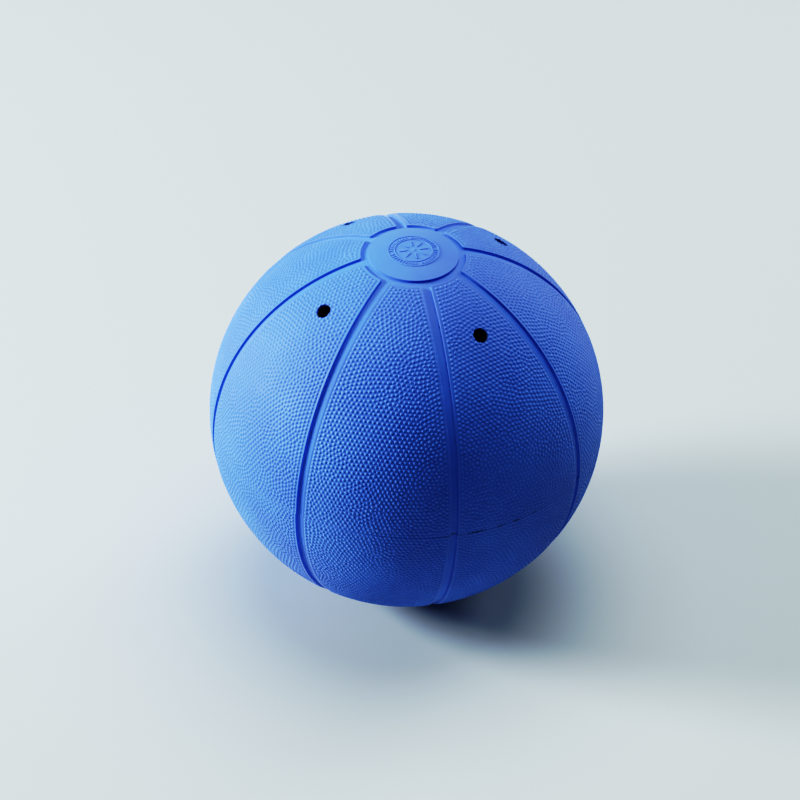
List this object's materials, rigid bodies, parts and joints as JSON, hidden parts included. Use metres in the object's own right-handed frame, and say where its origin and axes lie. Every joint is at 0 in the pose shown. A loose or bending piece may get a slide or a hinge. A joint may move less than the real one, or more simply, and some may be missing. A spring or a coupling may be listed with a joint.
{
  "type": "sound ball",
  "caption": "Hollow rubber ball for blind sport: pebbled panels between meridian grooves, smooth polar medallions, sound holes, and loose jingle bells inside.",
  "frame": {"origin": "centre of the ball", "axes": "+Z through the centres of the two polar medallions, square to the joint between the halves; one groove runs along each of +X, -X, +Y and -Y"},
  "size_m": [0.242, 0.242, 0.2418],
  "materials": {
    "shell_rubber": "matt moulded rubber with a pebbled grip",
    "bell_sheet": "bright nickelled pressed sheet",
    "bell_wire": "drawn wire",
    "bell_pellet": "dull tumbled steel"
  },
  "bodies": {
    "shell": {"upper_half": "shell_rubber", "lower_half": "shell_rubber"},
    "bell_1": {"bell_1_top_cup": "bell_sheet", "bell_1_slotted_cup": "bell_sheet", "bell_1_loop": "bell_wire"},
    "pellet_1": {"bell_1_pellet": "bell_pellet"},
    "bell_2": {"bell_2_top_cup": "bell_sheet", "bell_2_slotted_cup": "bell_sheet", "bell_2_loop": "bell_wire"},
    "pellet_2": {"bell_2_pellet": "bell_pellet"},
    "bell_3": {"bell_3_top_cup": "bell_sheet", "bell_3_slotted_cup": "bell_sheet", "bell_3_loop": "bell_wire"},
    "pellet_3": {"bell_3_pellet": "bell_pellet"},
    "bell_4": {"bell_4_top_cup": "bell_sheet", "bell_4_slotted_cup": "bell_sheet", "bell_4_loop": "bell_wire"},
    "pellet_4": {"bell_4_pellet": "bell_pellet"}
  },
  "joints": [
    {"name": "bell_1_roll", "type": "hinge", "parent": "shell", "child": "bell_1", "pos_m": [0, 0, 0], "axis": [0.7071, -0.7071, 0], "range_deg": [0, 155.1]},
    {"name": "pellet_1_rattle", "type": "hinge", "parent": "bell_1", "child": "pellet_1", "pos_m": [0.01515, 0.01515, -0.09686], "axis": [0.7071, -0.7071, 0], "range_deg": [-90, 115]},
    {"name": "bell_2_roll", "type": "hinge", "parent": "shell", "child": "bell_2", "pos_m": [0, 0, 0], "axis": [0.7071, 0.7071, 0], "range_deg": [0, 155.1]},
    {"name": "pellet_2_rattle", "type": "hinge", "parent": "bell_2", "child": "pellet_2", "pos_m": [-0.01515, 0.01515, -0.09686], "axis": [0.7071, 0.7071, 0], "range_deg": [-90, 115]},
    {"name": "bell_3_roll", "type": "hinge", "parent": "shell", "child": "bell_3", "pos_m": [0, 0, 0], "axis": [-0.7071, 0.7071, 0], "range_deg": [0, 155.1]},
    {"name": "pellet_3_rattle", "type": "hinge", "parent": "bell_3", "child": "pellet_3", "pos_m": [-0.01515, -0.01515, -0.09686], "axis": [-0.7071, 0.7071, 0], "range_deg": [-90, 115]},
    {"name": "bell_4_roll", "type": "hinge", "parent": "shell", "child": "bell_4", "pos_m": [0, 0, 0], "axis": [-0.7071, -0.7071, 0], "range_deg": [0, 155.1]},
    {"name": "pellet_4_rattle", "type": "hinge", "parent": "bell_4", "child": "pellet_4", "pos_m": [0.01515, -0.01515, -0.09686], "axis": [-0.7071, -0.7071, 0], "range_deg": [-90, 115]}
  ]
}
